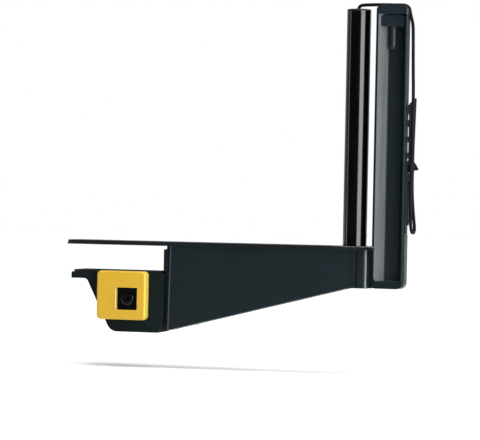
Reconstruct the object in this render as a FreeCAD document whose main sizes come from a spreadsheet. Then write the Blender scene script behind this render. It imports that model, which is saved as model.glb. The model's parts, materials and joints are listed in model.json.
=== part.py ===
import FreeCAD, Part
import math
import os
import re
import Sketcher

# Clamp that holds one end of a table tennis net. Millimetres.
# X runs outward along the net line from the table's side edge, Y across it, Z up from the table top.
DIMENSIONS = {
    # jaw opening
    "mouth_gap": 16.0,
    "jaw_travel": 14.0,
    # top blade that lies on the table, and its grip pad
    "blade_left": -63.8,
    "blade_right": 134.2,
    "blade_half": 14.0,
    "blade_thick": 2.0,
    "blade_corner": 6.0,
    "pad_thick": 0.6,
    # arm that hangs below the blade outside the table
    "arm_left": 2.0,
    "arm_face_left": 4.6,
    "arm_face_low": 3.55,
    "arm_right": 119.0,
    "arm_half": 12.0,
    "arm_low": -53.2,
    "foot_low": -23.0,
    "wall": 2.4,
    "groove_deep": 2.5,
    "buffer_drop": 2.1,
    # moving jaw under the table
    "jaw_left": -60.0,
    "jaw_right": 0.7,
    "jaw_low": -54.5,
    "jaw_toe": -33.7,
    "jaw_neck": -50.0,
    "heel_right": -2.2,
    "heel_high": -45.5,
    "flange_thick": 4.0,
    "jaw_pad_thick": 1.5,
    # coloured adapter block on the jaw
    "block_left": -40.9,
    "block_right": -8.8,
    "block_low": -46.7,
    "block_front": -18.6,
    "key_x": -21.2,
    "key_z": -33.5,
    "key_half": 4.5,
    "window_half": 7.0,
    "window_floor": -14.0,
    "key_plate_thick": 1.2,
    "bolt_radius": 2.0,
    "bolt_head_radius": 4.3,
    "bolt_head_thick": 1.9,
    # vertical clamp screw
    "screw_x": 17.0,
    "screw_y": 3.0,
    "screw_radius": 3.95,
    "journal_radius": 3.0,
    "wheel_radius": 10.5,
    "wheel_low": -43.5,
    "wheel_high": -38.0,
    # net rod
    "rod_x": 120.0,
    "rod_radius": 7.4,
    "rod_inner": 6.4,
    "rod_top": 147.3,
    "rod_cap_thick": 1.1,
    "stud_radius": 2.5,
    # end block with the guide for the post
    "foot_right": 130.2,
    "guide_left": 132.0,
    "guide_right": 152.3,
    "guide_back": 7.6,
    "guide_front": -5.0,
    "guide_wall": 1.6,
    "guide_top": 10.5,
    "lug_top": -18.0,
    # post
    "post_left": 132.3,
    "post_right": 151.8,
    "post_front": -7.0,
    "post_back": 6.0,
    "post_low": -23.0,
    "cap_low": 145.3,
    "cap_top": 150.7,
    "channel_left": 133.7,
    "channel_floor_left": 139.2,
    "channel_floor_right": 147.8,
    "channel_right": 150.55,
    "channel_floor": -1.2,
    "channel_low": -19.0,
    "lift_x": 144.6,
    "lift_y": 2.5,
    "lift_radius": 2.0,
    # cord and cleat
    "cord_radius": 1.05,
    "saddle_x": 147.8,
    "saddle_z": 146.7,
    "saddle_radius": 3.2,
    "cleat_rail": 152.9,
    "cleat_outer": 153.9,
    "cleat_low": 53.2,
    "cleat_foot": 16.0,
    "cleat_stem_top": 48.4,
    "cleat_thick": 0.9,
    "cleat_y": -0.6,
}

SLIP = 0.05  # radial gap of a shaft in its hole
COVER_SCREWS = ((38.0, -7.5), (38.0, -35.5), (108.0, -12.0))  # X and Z
BLADE_SCREWS = (58.0, 92.0)  # X
CLEAT_BARS = ((10.7, 55.6), (57.1, 60.7), (67.0, 70.5), (76.4, 80.6), (84.0, 88.6))  # low and high Z
CLEAT_SCREWS = (18.0, 42.0)  # Z

# Middle line of the tension cord: out of the rod's cap, over the post, down to the loop and back up.
CORD_ROUTE = (
    (119.6, 0.0, 136.0),
    (119.4, 0.0, 143.2),
    (119.3, 0.0, 150.8),
    (125.5, 0.0, 151.25),
    (134.8, 0.0, 151.3),
    (142.4, 0.0, 151.1),
    (151.1, 0.0, 151.05),
    (152.4, 0.0, 144.4),
    (153.9, 0.0, 139.4),
    (154.15, 0.0, 129.6),
    (154.5, 0.0, 111.0),
    (155.0, -0.4, 98.0),
    (155.1, -1.15, 87.0),
    (155.1, -1.15, 72.0),
    (155.1, -1.2, 60.0),
    (155.0, -1.5, 50.0),
    (154.7, -1.8, 40.0),
    (154.8, -1.9, 28.0),
    (155.4, -2.2, 11.5),
    (157.3, 2.2, 11.7),
    (155.9, 2.1, 23.0),
    (155.0, 1.7, 36.0),
    (155.0, 1.3, 47.0),
    (155.1, 1.2, 58.0),
    (155.2, 1.2, 68.0),
    (155.5, 1.2, 80.0),
    (155.8, 1.2, 94.0),
)

UPRIGHT = FreeCAD.Rotation()
ALONG_X = FreeCAD.Rotation(FreeCAD.Vector(0, 1, 0), 90)
ALONG_Y = FreeCAD.Rotation(FreeCAD.Vector(1, 0, 0), -90)

doc = FreeCAD.newDocument("net_clamp")
dims = doc.addObject("Spreadsheet::Sheet", "dims")
for row, (alias, number) in enumerate(DIMENSIONS.items(), start=1):
    dims.set(f"A{row}", alias)
    dims.set(f"B{row}", str(number))
    dims.setAlias(f"B{row}", alias)
dims.set(f"A{len(DIMENSIONS) + 1}", "jaw_top")
dims.set(f"B{len(DIMENSIONS) + 1}", "=-mouth_gap - jaw_pad_thick")
dims.setAlias(f"B{len(DIMENSIONS) + 1}", "jaw_top")
doc.recompute()

nodes = []


def size(alias):
    """A driving dimension as a number."""
    return float(dims.get(alias))


def bind(thing, prop, expression):
    """Bind a property to an expression of the sheet's aliases."""
    text = str(expression)
    thing.setExpression(prop, re.sub(r"[a-z]\w*", lambda found: f"dims.{found.group()}", text))


def place(thing, at, turn=UPRIGHT):
    """Put a primitive's base point at three expressions."""
    thing.Placement = FreeCAD.Placement(FreeCAD.Vector(), turn)
    for axis, where in zip("xyz", at):
        bind(thing, f"Placement.Base.{axis}", where)


def box(name, low, high):
    """A box between two corners, each coordinate an expression."""
    part = doc.addObject("Part::Box", name)
    for prop, start, end in zip(("Length", "Width", "Height"), low, high):
        bind(part, prop, f"({end}) - ({start})")
    place(part, low)
    return part


def disc(name, radius, at, length, turn=UPRIGHT):
    """A cylinder that starts at a point and runs along the turned Z axis."""
    part = doc.addObject("Part::Cylinder", name)
    bind(part, "Radius", radius)
    bind(part, "Height", length)
    place(part, at, turn)
    return part


def hexagon(name, corner_radius, at, length, turn=UPRIGHT):
    """A six-sided prism."""
    part = doc.addObject("Part::Prism", name)
    part.Polygon = 6
    bind(part, "Circumradius", corner_radius)
    bind(part, "Height", length)
    place(part, at, turn)
    return part


def ball(name, radius, at):
    """A sphere."""
    part = doc.addObject("Part::Sphere", name)
    bind(part, "Radius", radius)
    place(part, at)
    return part


def join(name, parts):
    """One solid from several that overlap or touch."""
    whole = doc.addObject("Part::MultiFuse", name)
    whole.Shapes = parts
    whole.Refine = True
    return whole


def cut(name, base, tools):
    """The base with the tools taken away."""
    tool = tools[0] if len(tools) == 1 else join(f"{name}_tools", tools)
    rest = doc.addObject("Part::Cut", name)
    rest.Base = base
    rest.Tool = tool
    rest.Refine = True
    return rest


def meet(name, parts):
    """What several solids have in common."""
    shared = doc.addObject("Part::MultiCommon", name)
    shared.Shapes = parts
    return shared


def edges_at(shape, points):
    """Numbers of the edges nearest to the given points."""
    numbers = []
    for point in points:
        spot = Part.Vertex(FreeCAD.Vector(*point))
        reach = [edge.distToShape(spot)[0] for edge in shape.Edges]
        numbers.append(reach.index(min(reach)) + 1)
    return sorted(set(numbers))


def rounded(name, base, radius, points):
    """The base with the edges at the given points rounded."""
    doc.recompute()
    part = doc.addObject("Part::Fillet", name)
    part.Base = base
    part.Edges = [(number, radius, radius) for number in edges_at(base.Shape, points)]
    return part


def outline_sketch(body, role, corners, level):
    """A closed outline on one of the body's origin planes, every corner bound to the sheet."""
    sketch = body.newObject("Sketcher::SketchObject", f"{body.Name}_outline")
    plane = [item for item in body.Origin.OriginFeatures if item.Role == role][0]
    sketch.AttachmentSupport = [(plane, "")]
    sketch.MapMode = "FlatFace"
    bind(sketch, "AttachmentOffset.Base.z", level)
    count = len(corners)
    for index in range(count):
        start = FreeCAD.Vector(index, index * index, 0)
        end = FreeCAD.Vector(index + 1, (index + 1) ** 2, 0)
        sketch.addGeometry(Part.LineSegment(start, end), False)
    for index in range(count):
        sketch.addConstraint(Sketcher.Constraint("Coincident", index, 2, (index + 1) % count, 1))
    for index, corner in enumerate(corners):
        for kind, where in zip(("DistanceX", "DistanceY"), corner):
            number = sketch.addConstraint(Sketcher.Constraint(kind, -1, 1, index, 1, 1.0))
            bind(sketch, f"Constraints[{number}]", where)
    doc.recompute()
    return sketch


def slab(name, role, corners, start, end):
    """A PartDesign body: an outline padded from start to end along the plane's own axis.

    XZ outlines are padded along +Y and XY outlines along +Z.
    """
    body = doc.addObject("PartDesign::Body", name)
    across = role == "XZ_Plane"
    sketch = outline_sketch(body, role, corners, f"-({start})" if across else start)
    pad = body.newObject("PartDesign::Pad", f"{name}_pad")
    pad.Profile = sketch
    pad.Reversed = across
    bind(pad, "Length", f"({end}) - ({start})")
    body.Tip = pad
    doc.recompute()
    return body


def body_fillet(body, name, radius, points):
    """Round edges of a PartDesign body."""
    base = body.Tip
    feature = body.newObject("PartDesign::Fillet", name)
    feature.Base = (base, [f"Edge{number}" for number in edges_at(base.Shape, points)])
    feature.Radius = radius
    body.Tip = feature
    doc.recompute()


def node(thing, name):
    """Name a finished sub-part and keep it for export."""
    thing.Label = name
    nodes.append(thing)
    return thing


def machine_screw(name, head_radius, head_thick, shank_radius, at, length, turn):
    """A screw with a low round head and a hexagon socket; its head starts at the point."""
    head = disc(f"{name}_head", head_radius, at, head_thick, turn)
    shank = disc(f"{name}_shank", shank_radius, at, length, turn)
    socket = hexagon(f"{name}_socket", head_radius * 0.42, at, head_thick * 0.6, turn)
    whole = join(f"{name}_whole", [head, shank])
    return node(cut(f"{name}_cut", whole, [socket]), name)


# ---------------------------------------------------------------- top blade


def build_blade():
    """Steel blade with its pad and the two screws that hold it to the arm."""
    top = "pad_thick + blade_thick"
    corners = (
        ("blade_left", "-blade_half"),
        ("blade_right", "-blade_half"),
        ("blade_right", "post_front - 0.4"),
        ("guide_left - 0.2", "post_front - 0.4"),
        ("guide_left - 0.2", "blade_half"),
        ("blade_left", "blade_half"),
    )
    body = slab("blade_plate", "XY_Plane", corners, "pad_thick", top)
    left, half = size("blade_left"), size("blade_half")
    level = size("pad_thick") + size("blade_thick") / 2
    body_fillet(body, "blade_corners", size("blade_corner"), [(left, -half, level), (left, half, level)])
    holes = [disc("blade_stud_hole", "stud_radius + 0.3", ("rod_x", 0, 0), "blade_thick + 2")]
    for number, where in enumerate(BLADE_SCREWS, start=1):
        holes.append(disc(f"blade_hole_{number}", 1.7, (where, 0, 0), "blade_thick + 2"))
        sink = doc.addObject("Part::Cone", f"blade_sink_{number}")
        sink.Radius1 = 1.6
        sink.Radius2 = 3.2
        bind(sink, "Height", "blade_thick * 0.8")
        place(sink, (where, 0, f"{top} - blade_thick * 0.8"))
        holes.append(sink)
    node(cut("blade_drilled", body, holes), "top_blade")
    for number, where in enumerate(BLADE_SCREWS, start=1):
        head = doc.addObject("Part::Cone", f"blade_screw_head_{number}")
        head.Radius1 = 1.5
        head.Radius2 = 3.05
        bind(head, "Height", "blade_thick * 0.75")
        place(head, (where, 0, f"{top} - blade_thick * 0.78"))
        shank = disc(f"blade_screw_shank_{number}", 1.45, (where, 0, -8), f"8 + {top} - 0.5")
        socket = hexagon(f"blade_screw_socket_{number}", 1.15, (where, 0, f"{top} - 1.0"), 1.2)
        whole = join(f"blade_screw_whole_{number}", [head, shank])
        node(cut(f"blade_screw_cut_{number}", whole, [socket]), f"blade_screw_{number}")
    pad_end = ("arm_left - 0.2", "blade_half - 1", "pad_thick")
    node(box("pad_strip", ("blade_left + 1", "-blade_half + 1", 0), pad_end), "blade_pad")


# ---------------------------------------------------------------- arm


def arm_floor(where, above=0.0):
    """Height of the arm's sloping underside at X, raised by a wall measured square to it."""
    run = size("arm_right") - size("arm_left")
    slope = (size("foot_low") - size("arm_low")) / run
    return size("arm_low") + slope * (where - size("arm_left")) + above * math.hypot(1, slope)


def arm_corners(left, right, top, above):
    """Corners of the arm's outline, or of the hollow inside it."""
    return (
        (left, top),
        (left, arm_floor(size("arm_left") if left == "arm_left" else size("arm_face_left"), above)),
        (right, arm_floor(size("arm_right") - above, above)),
        (right, top),
    )


def build_arm():
    """Hollow arm, closed at the back by a screwed cover with a window for the wheel."""
    inner = "arm_half - wall"
    outside = slab("arm_outside", "XZ_Plane", arm_corners("arm_left", "arm_right", "pad_thick", 0),
                   "-arm_half", inner)
    wall = size("wall")
    hollow = slab("arm_hollow", "XZ_Plane",
                  arm_corners("arm_face_left + 0.8", "arm_right - wall", "pad_thick - wall", wall),
                  "-arm_half + wall", "arm_half")
    recess = slab("arm_recess", "XZ_Plane",
                  ((0, -60), ("arm_face_low", -60), ("arm_face_left", 2), (0, 2)),
                  "-arm_half - 1", "-arm_half + groove_deep")
    slot = box("neck_slot", (0, -3.3, "jaw_top - 6.3 - jaw_travel"), (6, 3.3, "jaw_top + 0.3"))
    shell = cut("arm_shell", outside, [hollow, recess, slot])
    inside = "-arm_half + wall - 0.5"
    fills = [shell]
    for number, (where, height) in enumerate(COVER_SCREWS, start=1):
        depth = f"{inner} - ({inside})"
        fills.append(disc(f"cover_boss_{number}", 3.4, (where, inside, height), depth, ALONG_Y))
    for number, where in enumerate(BLADE_SCREWS, start=1):
        fills.append(box(f"blade_boss_{number}", (where - 3.5, -3.5, -12), (where + 3.5, 3.5, -1)))
    for number, where in enumerate((50.0, 82.0), start=1):
        fills.append(box(f"arm_rib_{number}", (where - 1, inside, arm_floor(where + 1, 1.0)),
                         (where + 1, f"{inner} - 0.3", -1)))
    low = ("screw_x - 5.5", "screw_y - 5.5", -47.4)
    fills.append(box("low_bearing", low, ("screw_x + 5.5", "screw_y + 5.5", "wheel_low - 0.9")))
    fills.append(box("high_bearing", ("screw_x - 5.5", "screw_y - 5.5", -6),
                     ("screw_x + 5.5", "screw_y + 5.5", -1)))
    holes = [disc("low_journal_hole", f"journal_radius + {SLIP}", ("screw_x", "screw_y", -56), 14),
             disc("high_journal_hole", f"journal_radius + {SLIP}", ("screw_x", "screw_y", -7), 4.6)]
    for number, (where, height) in enumerate(COVER_SCREWS, start=1):
        holes.append(disc(f"cover_pilot_{number}", 1.5, (where, 0, height), 12, ALONG_Y))
    for number, where in enumerate(BLADE_SCREWS, start=1):
        holes.append(disc(f"blade_pilot_{number}", 1.5, (where, 0, -9), 12))
    holes.append(disc("arm_stud_way", "stud_radius + 0.3", ("rod_x", 0, -30), 40))
    holes.append(disc("arm_stud_seat", 4.8, ("rod_x", 0, -30), 15))
    body = join("arm_filled", fills)
    plain = cut("arm_cut", body, holes)
    half, right = size("arm_half"), size("arm_right")
    lean = (size("arm_face_left") + size("arm_face_low")) / 2
    edge = [(right, -half, -10), (60, -half, arm_floor(60)), (lean, -half, -29)]
    node(rounded("arm_round", plain, 0.7, edge), "arm_body")

    outline = arm_corners("arm_left", "arm_right", "pad_thick", 0)
    cover = slab("cover_plate", "XZ_Plane", outline, inner, "arm_half")
    window = box("wheel_window", ("screw_x - wheel_radius - 1", 0, "wheel_low - 1"),
                 ("screw_x + wheel_radius + 1", 20, "wheel_high + 1"))
    holes = [window]
    for number, (where, height) in enumerate(COVER_SCREWS, start=1):
        holes.append(disc(f"cover_hole_{number}", 1.7, (where, 0, height), 20, ALONG_Y))
    plain = cut("cover_cut", cover, holes)
    edge = [(right, half, -10), (60, half, arm_floor(60)), (size("arm_left"), half, -30)]
    node(rounded("cover_round", plain, 0.7, edge), "arm_cover")
    for number, (where, height) in enumerate(COVER_SCREWS, start=1):
        machine_screw(f"cover_screw_{number}", 2.75, 1.5, 1.45, (where, "arm_half + 1.5", height), 11,
                      FreeCAD.Rotation(FreeCAD.Vector(1, 0, 0), 90))
    strip = box("buffer_strip", (0, -9.5, "jaw_top + 2.1"), ("arm_left", 9.5, "-buffer_drop"))
    node(strip, "edge_buffer")


# ---------------------------------------------------------------- moving jaw


def build_jaw():
    """Jaw with its pad, the adapter block clamped on its square key, and the brass nut it rides on."""
    top = "jaw_top"
    corners = (
        ("jaw_left", top),
        ("jaw_left", f"{top} - flange_thick"),
        ("jaw_neck", f"{top} - flange_thick"),
        ("jaw_toe", "jaw_low"),
        ("heel_right", "jaw_low"),
        ("jaw_right", "heel_high"),
        ("jaw_right", top),
    )
    body = slab("jaw_plate", "XZ_Plane", corners, "-arm_half", "arm_half")
    low = size("jaw_low")
    body_fillet(body, "jaw_throat", 3.0, [(size("jaw_neck"), 0, size("jaw_top") - size("flange_thick"))])
    body_fillet(body, "jaw_toe_round", 7.0, [(size("jaw_toe"), 0, low)])
    body_fillet(body, "jaw_heel_round", 1.2, [(size("heel_right"), 0, low)])
    body_fillet(body, "jaw_heel_bend", 12.0, [(size("jaw_right"), 0, size("heel_high"))])
    carrier = ("screw_x - 6.5", "screw_y - 6.4", f"{top} - 6")
    parts = [
        body,
        box("slide_wall", (-1, "-arm_half + 3", "jaw_low + 9"), ("arm_left - 0.3", "arm_half - 3", top)),
        box("jaw_neck_bar", (-1, -3, f"{top} - 6"), ("screw_x", 3, top)),
        box("nut_carrier", carrier, ("screw_x + 6.5", "screw_y + 6.2", top)),
        box("square_key", ("key_x - key_half", "window_floor + 0.3", "key_z - key_half"),
            ("key_x + key_half", 0, "key_z + key_half")),
    ]
    holes = [
        box("nut_seat", ("screw_x - 5.5", "screw_y - 5.5", f"{top} - 4"),
            ("screw_x + 5.5", "screw_y + 5.5", -10)),
        disc("screw_way", "screw_radius + 0.4", ("screw_x", "screw_y", -30), 15),
        disc("bolt_way", f"bolt_radius + {SLIP}", ("key_x", -20, "key_z"), 40, ALONG_Y),
        hexagon("bolt_nut_seat", 4.15, ("key_x", 3.5, "key_z"), 10, ALONG_Y),
        box("core_left", (-39, -8, -42), (-32, 13, f"{top} - 7.5")),
        box("core_right", (-9.5, -8, "jaw_low + 3.5"), (-3.5, 13, f"{top} - 7.5")),
    ]
    plain = cut("jaw_cut", join("jaw_joined", parts), holes)
    half = size("arm_half")
    rim = [(-20, -half, low), (size("jaw_right"), -half, -35), (-42.5, -half, -36.7)]
    node(rounded("jaw_round", plain, 0.6, rim), "jaw_body")
    node(box("jaw_pad_strip", ("jaw_left + 1.5", "-arm_half + 1", top),
             (-1.5, "arm_half - 1", "-mouth_gap")),
         "jaw_pad")

    blank = slab("block_blank", "XZ_Plane", (
        ("block_left", "-mouth_gap - 0.2"),
        ("block_left", "block_low"),
        ("block_right", "block_low"),
        ("block_right", "-mouth_gap - 0.2"),
    ), "block_front", "-arm_half")
    left, right = size("block_left"), size("block_right")
    high, base = -size("mouth_gap") - 0.2, size("block_low")
    front = size("block_front")
    body_fillet(blank, "block_corners", 2.6, [(x, -16, z) for x in (left, right) for z in (high, base)])
    body_fillet(blank, "block_rim", 1.5, [(-20, front, base), (left, front, -30), (right, front, -30)])
    tools = [
        box("block_window", ("key_x - window_half", "block_front - 1", "key_z - window_half"),
            ("key_x + window_half", "window_floor", "key_z + window_half")),
        box("block_key_hole", ("key_x - key_half - 0.1", -25, "key_z - key_half - 0.1"),
            ("key_x + key_half + 0.1", -5, "key_z + key_half + 0.1")),
    ]
    node(cut("block_cut", blank, tools), "jaw_block")

    near, far = "- window_half + 0.15", "+ window_half - 0.15"
    plate = box("washer_blank", (f"key_x {near}", "window_floor - key_plate_thick", f"key_z {near}"),
                (f"key_x {far}", "window_floor", f"key_z {far}"))
    hole = disc("washer_hole", 2.2, ("key_x", -30, "key_z"), 30, ALONG_Y)
    node(cut("washer_cut", plate, [hole]), "key_plate")

    head_back = "window_floor - key_plate_thick"
    head_front = size("window_floor") - size("key_plate_thick") - size("bolt_head_thick")
    head = disc("bolt_head", "bolt_head_radius", ("key_x", f"{head_back} - bolt_head_thick", "key_z"),
                "bolt_head_thick", ALONG_Y)
    rim = (size("key_x") - size("bolt_head_radius"), head_front, size("key_z"))
    dome = rounded("bolt_dome", head, 1.1, [rim])
    at = ("key_x", f"{head_back} - 0.1", "key_z")
    shank = disc("bolt_shank", "bolt_radius", at, f"8 - ({head_back})", ALONG_Y)
    socket = hexagon("bolt_socket", 1.9, ("key_x", f"{head_back} - 4", "key_z"), 3.6, ALONG_Y)
    node(cut("bolt_cut", join("bolt_whole", [dome, shank]), [socket]), "jaw_bolt")
    nut = hexagon("bolt_nut_blank", 4.0, ("key_x", 3.5, "key_z"), 3.2, ALONG_Y)
    way = disc("bolt_nut_way", f"bolt_radius + {SLIP}", ("key_x", 0, "key_z"), 12, ALONG_Y)
    node(cut("bolt_nut_cut", nut, [way]), "jaw_bolt_nut")

    blank = box("clamp_nut_blank", ("screw_x - 5.4", "screw_y - 5.4", f"{top} - 4"),
                ("screw_x + 5.4", "screw_y + 5.4", f"{top} - 0.2"))
    way = disc("clamp_nut_way", f"screw_radius + {SLIP}", ("screw_x", "screw_y", -30), 20)
    node(cut("clamp_nut_cut", blank, [way]), "clamp_nut")


def build_clamp_screw():
    """Upright screw in the arm, its thumb wheel and the washer the wheel bears on."""
    shaft = disc("screw_shaft", "screw_radius", ("screw_x", "screw_y", "wheel_low - 0.1"), "-6.2 - wheel_low")
    journal = disc("screw_journal", "journal_radius", ("screw_x", "screw_y", -49.4), 46.6)
    socket = hexagon("screw_socket", 1.75, ("screw_x", "screw_y", -50), 3.4)
    node(cut("screw_cut", join("screw_whole", [shaft, journal]), [socket]), "clamp_screw")
    wheel = disc("wheel_blank", "wheel_radius", ("screw_x", "screw_y", "wheel_low"), "wheel_high - wheel_low")
    tools = [disc("wheel_way", f"screw_radius + {SLIP}", ("screw_x", "screw_y", -50), 20)]
    flutes = 20
    for number in range(flutes):
        angle = 2 * math.pi * number / flutes
        at = (f"screw_x + (wheel_radius + 0.35) * {math.cos(angle):.5f}",
              f"screw_y + (wheel_radius + 0.35) * {math.sin(angle):.5f}", -50)
        tools.append(disc(f"flute_{number}", 1.0, at, 20))
    node(cut("wheel_cut", wheel, tools), "clamp_wheel")
    ring = disc("thrust_blank", 5.5, ("screw_x", "screw_y", "wheel_low - 0.8"), 0.7)
    way = disc("thrust_way", "journal_radius + 0.1", ("screw_x", "screw_y", -50), 20)
    node(cut("thrust_cut", ring, [way]), "thrust_washer")


# ---------------------------------------------------------------- net rod and end block


def build_rod():
    """Tube that carries the net's end, with its base plug, cap and the stud that holds it down."""
    base = "pad_thick + blade_thick"
    tube = disc("rod_blank", "rod_radius", ("rod_x", 0, base), f"rod_top - ({base})")
    way = disc("rod_way", "rod_inner", ("rod_x", 0, 0), 200)
    node(cut("rod_cut", tube, [way]), "net_rod")
    plug = disc("rod_base_blank", "rod_inner - 0.1", ("rod_x", 0, base), 16)
    way = disc("rod_base_way", f"stud_radius + {SLIP}", ("rod_x", 0, -5), 40)
    node(cut("rod_base_cut", plug, [way]), "rod_base")
    rim = disc("rod_cap_rim", "rod_radius", ("rod_x", 0, "rod_top"), "rod_cap_thick")
    soft = rounded("rod_cap_soft", rim, 0.5, [(size("rod_x") - size("rod_radius"), 0,
                                               size("rod_top") + size("rod_cap_thick"))])
    plug = disc("rod_cap_plug", "rod_inner - 0.1", ("rod_x", 0, "rod_top - 6"), 6.2)
    way = disc("rod_cap_way", "cord_radius + 0.6", (119.6, 0, 100), 100)
    node(cut("rod_cap_cut", join("rod_cap_whole", [soft, plug]), [way]), "rod_cap")
    machine_screw("rod_stud", 4.25, 5.0, "stud_radius", ("rod_x", 0, -20), 36, UPRIGHT)


def build_guide():
    """Wall round the post's foot, with the lug that carries the height screw."""
    low, right, back = size("foot_low"), size("guide_right"), size("guide_back")
    top = size("guide_top")
    blank = box("guide_blank", ("guide_left", "guide_front", "foot_low"),
                ("guide_right", "guide_back", "guide_top"))
    corner = rounded("guide_corner", blank, 4.0, [(right, back, 0)])
    heel = rounded("guide_heel", corner, 3.7, [(right, 0, low)])
    soft = rounded("guide_soft", heel, 0.5, [(right, 0, top)])
    inner = "guide_right - guide_wall"
    rooms = [
        box("guide_room_low", ("guide_left - 1", "guide_front - 1", "foot_low - 1"),
            (inner, "channel_floor + 0.4", "guide_top + 1")),
        box("guide_room_high", ("guide_left - 1", "channel_floor", "lug_top"),
            (inner, "post_back + 0.3", "guide_top + 1")),
    ]
    return cut("guide", soft, rooms)


def build_foot():
    """End block under the rod, made in one with the guide that the post slides in."""
    low = "foot_low"
    block = box("foot_blank", ("arm_right", "-arm_half", low), ("foot_right", "arm_half", "pad_thick"))
    half = size("arm_half")
    right = size("foot_right")
    block = rounded("foot_round", block, 2.4, [(right, -half, -10), (right, half, -10)])
    parts = [
        block,
        box("foot_tongue", ("arm_right - wall - 0.05", -5, -14), ("arm_right + 1", 5, -6)),
        box("foot_web", ("foot_right - 4", "guide_front - 0.5", low),
            ("guide_left", "guide_back", "pad_thick")),
        build_guide(),
    ]
    holes = [
        box("tongue_trim", ("arm_right - 20", -6, -30), ("arm_right", 6, 0)),
        box("front_groove", (123.5, "-arm_half - 1", "foot_low + 1.5"), (124.5, "-arm_half + 1.4", -1)),
        disc("stud_way", "stud_radius + 0.3", ("rod_x", 0, -30), 40),
        disc("stud_seat", 4.8, ("rod_x", 0, -30), 15),
        disc("lift_way", f"lift_radius + {SLIP}", ("lift_x", "lift_y", -30), 20),
        disc("lift_seat", 3.3, ("lift_x", "lift_y", -30), 9.5),
    ]
    node(cut("foot_cut", join("foot_joined", parts), holes), "post_foot")


# ---------------------------------------------------------------- post


def channel_corners(front, left_gap, right_gap):
    """Section of the channel from the front plane to its floor, less a gap at each side."""
    left_lean = "(channel_floor_left - channel_left) / (channel_floor - post_front)"
    right_lean = "(channel_right - channel_floor_right) / (channel_floor - post_front)"
    return (
        (f"channel_left + ({front}) * {left_lean} + {left_gap}", f"post_front + {front}"),
        (f"channel_floor_left + {left_gap}", "channel_floor"),
        (f"channel_floor_right - {right_gap}", "channel_floor"),
        (f"channel_right - ({front}) * {right_lean} - {right_gap}", f"post_front + {front}"),
    )


def post_blank(name, low, high, corners):
    """The post's section between two levels, with rounded corners in its front outline."""
    left, right = size("post_left"), size("post_right")
    front, back = size("post_front"), size("post_back")
    outline = (("post_left", "post_front"), ("post_right", "post_front"),
               ("post_right", "post_back"), ("post_left", "post_back"))
    bar = slab(f"{name}_section", "XY_Plane", outline, low, high)
    middle = (bar.Shape.BoundBox.ZMin + bar.Shape.BoundBox.ZMax) / 2
    body_fillet(bar, f"{name}_edge_1", 5.0, [(right, back, middle)])
    body_fillet(bar, f"{name}_edge_2", 1.5, [(left, back, middle)])
    body_fillet(bar, f"{name}_edge_3", 0.9, [(right, front, middle)])
    body_fillet(bar, f"{name}_edge_4", 0.4, [(left, front, middle)])
    outline = (("post_left", low), ("post_right", low), ("post_right", high), ("post_left", high))
    plate = slab(f"{name}_front", "XZ_Plane", outline, "post_front - 1", "post_back + 1")
    for number, (x, z, radius) in enumerate(corners, start=1):
        body_fillet(plate, f"{name}_corner_{number}", radius, [(x, 0, z)])
    return meet(f"{name}_blank", [bar, plate])


def build_post():
    """Post with a channel in its front face, and a threaded insert for the height screw."""
    left, right, low = size("post_left"), size("post_right"), size("post_low")
    blank = post_blank("post", "post_low", "cap_low", [(left, low, 2.4), (right, low, 3.7)])
    channel = slab("channel", "XY_Plane", channel_corners(-1.0, 0, 0), "channel_low", "cap_low + 1")
    floor, sill = size("channel_floor"), size("channel_low")
    body_fillet(channel, "channel_soft", 1.8, [
        (size("channel_floor_left"), floor, 50),
        (144, floor, sill),
        ((size("channel_left") + size("channel_floor_left")) / 2, (size("post_front") + floor) / 2, sill),
        ((size("channel_right") + size("channel_floor_right")) / 2, (size("post_front") + floor) / 2, sill),
    ])
    outline = (("channel_left", "channel_low"), ("channel_right", "channel_low"),
               ("channel_right", "cap_low + 1"), ("channel_left", "cap_low + 1"))
    window = slab("channel_window", "XZ_Plane", outline, "post_front - 2", "channel_floor + 1")
    low_corners = [(size(side), 0, sill) for side in ("channel_left", "channel_right")]
    body_fillet(window, "window_corners", 3.2, low_corners)
    trims = [
        meet("channel_room", [channel, window]),
        box("guide_step", ("guide_right - guide_wall - 0.2", "guide_front - 0.1", "post_low - 1"),
            ("post_right + 1", "post_back + 1", "guide_top + 0.1")),
        box("lug_room", ("post_left - 1", "channel_floor + 0.1", "post_low - 1"),
            ("post_right + 1", "post_back + 1", "lug_top + 1.3")),
        box("cord_notch", ("post_right - 0.8", "-cord_radius - 0.3", 142.4),
            ("post_right + 1", "cord_radius + 0.3", "cap_low + 1")),
        disc("insert_way", f"lift_radius + 0.9 + {SLIP}", ("lift_x", "lift_y", "lug_top - 1"), 10),
        disc("lift_room", "lift_radius + 0.3", ("lift_x", "lift_y", "lug_top - 1"), 36),
        disc("cap_screw_way", 1.6, ("lift_x - 1", -3, 141.5), 12, ALONG_Y),
    ]
    for number, height in enumerate(CLEAT_SCREWS, start=1):
        trims.append(disc(f"cleat_pilot_{number}", 0.9, ("post_right - 3.6", "cleat_y", height), 6, ALONG_X))
    node(cut("post_cut", blank, trims), "post_body")

    insert = disc("insert_blank", "lift_radius + 0.9", ("lift_x", "lift_y", "lug_top + 2.2"), 6)
    way = disc("insert_hole", f"lift_radius + {SLIP}", ("lift_x", "lift_y", -30), 40)
    node(cut("insert_cut", insert, [way]), "height_nut")


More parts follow.
